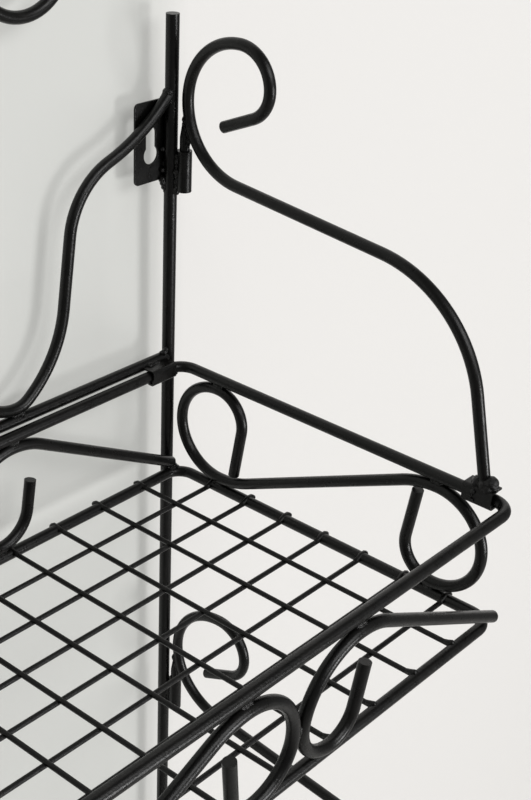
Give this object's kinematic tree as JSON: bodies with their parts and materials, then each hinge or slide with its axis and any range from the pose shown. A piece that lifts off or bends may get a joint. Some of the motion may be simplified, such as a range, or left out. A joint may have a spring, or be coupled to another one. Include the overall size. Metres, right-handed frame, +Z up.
{
  "type": "wire wall shelf",
  "caption": "Wall shelf of bent black steel rod: wire trays with scrollwork sides between posts, each carried in front by scroll arms that swing inwards on pins.",
  "frame": {"origin": "on the wall plane, midway between the screw seats of the two keyhole plates", "axes": "+X to the right along the wall, -Y out of the wall to the shelf's front, +Z up"},
  "size_m": [0.365, 0.2654, 0.7926],
  "materials": {
    "rod": "satin",
    "floor_wire": "satin",
    "sheet_parts": "satin"
  },
  "bodies": {
    "frame_and_trays": {"post_left": "rod", "post_right": "rod", "mounting_plate_left": "sheet_parts", "mounting_plate_right": "sheet_parts", "wall_scroll_left": "rod", "wall_scroll_right": "rod", "upper_crossbar": "rod", "upper_tray_top_ring": "rod", "upper_tray_bottom_ring": "rod", "upper_front_to_back_wires": "floor_wire", "upper_side_to_side_wires": "floor_wire", "lower_crossbar": "rod", "lower_tray_top_ring": "rod", "lower_tray_bottom_ring": "rod", "lower_front_to_back_wires": "floor_wire", "lower_side_to_side_wires": "floor_wire", "upper_back_hook_left": "sheet_parts", "upper_back_hook_right": "sheet_parts", "upper_hinge_barrel_left": "rod", "upper_hinge_barrel_right": "rod", "upper_side_scroll_left": "rod", "upper_side_scroll_right": "rod", "upper_front_scroll_left": "rod", "upper_front_scroll_right": "rod", "upper_back_scroll_left": "rod", "upper_back_scroll_right": "rod", "lower_back_hook_left": "sheet_parts", "lower_back_hook_right": "sheet_parts", "lower_hinge_barrel_left": "rod", "lower_hinge_barrel_right": "rod", "lower_side_scroll_left": "rod", "lower_side_scroll_right": "rod", "lower_front_scroll_left": "rod", "lower_front_scroll_right": "rod", "lower_back_scroll_left": "rod", "lower_back_scroll_right": "rod"},
    "upper_left_arm": {"upper_arm_scroll_left": "rod", "upper_hinge_pin_left": "rod", "upper_arm_clip_left": "sheet_parts"},
    "upper_right_arm": {"upper_arm_scroll_right": "rod", "upper_hinge_pin_right": "rod", "upper_arm_clip_right": "sheet_parts"},
    "lower_left_arm": {"lower_arm_scroll_left": "rod", "lower_hinge_pin_left": "rod", "lower_arm_clip_left": "sheet_parts"},
    "lower_right_arm": {"lower_arm_scroll_right": "rod", "lower_hinge_pin_right": "rod", "lower_arm_clip_right": "sheet_parts"}
  },
  "joints": [
    {"name": "upper_left_arm_hinge", "type": "hinge", "parent": "frame_and_trays", "child": "upper_left_arm", "pos_m": [-0.1775, -0.0133, -0.0245], "axis": [0, 0, 1], "range_deg": [0, 83]},
    {"name": "upper_right_arm_hinge", "type": "hinge", "parent": "frame_and_trays", "child": "upper_right_arm", "pos_m": [0.1775, -0.0133, -0.0245], "axis": [0, 0, -1], "range_deg": [0, 86]},
    {"name": "lower_left_arm_hinge", "type": "hinge", "parent": "frame_and_trays", "child": "lower_left_arm", "pos_m": [-0.1775, -0.0133, -0.4125], "axis": [0, 0, 1], "range_deg": [0, 83]},
    {"name": "lower_right_arm_hinge", "type": "hinge", "parent": "frame_and_trays", "child": "lower_right_arm", "pos_m": [0.1775, -0.0133, -0.4125], "axis": [0, 0, -1], "range_deg": [0, 86]}
  ]
}
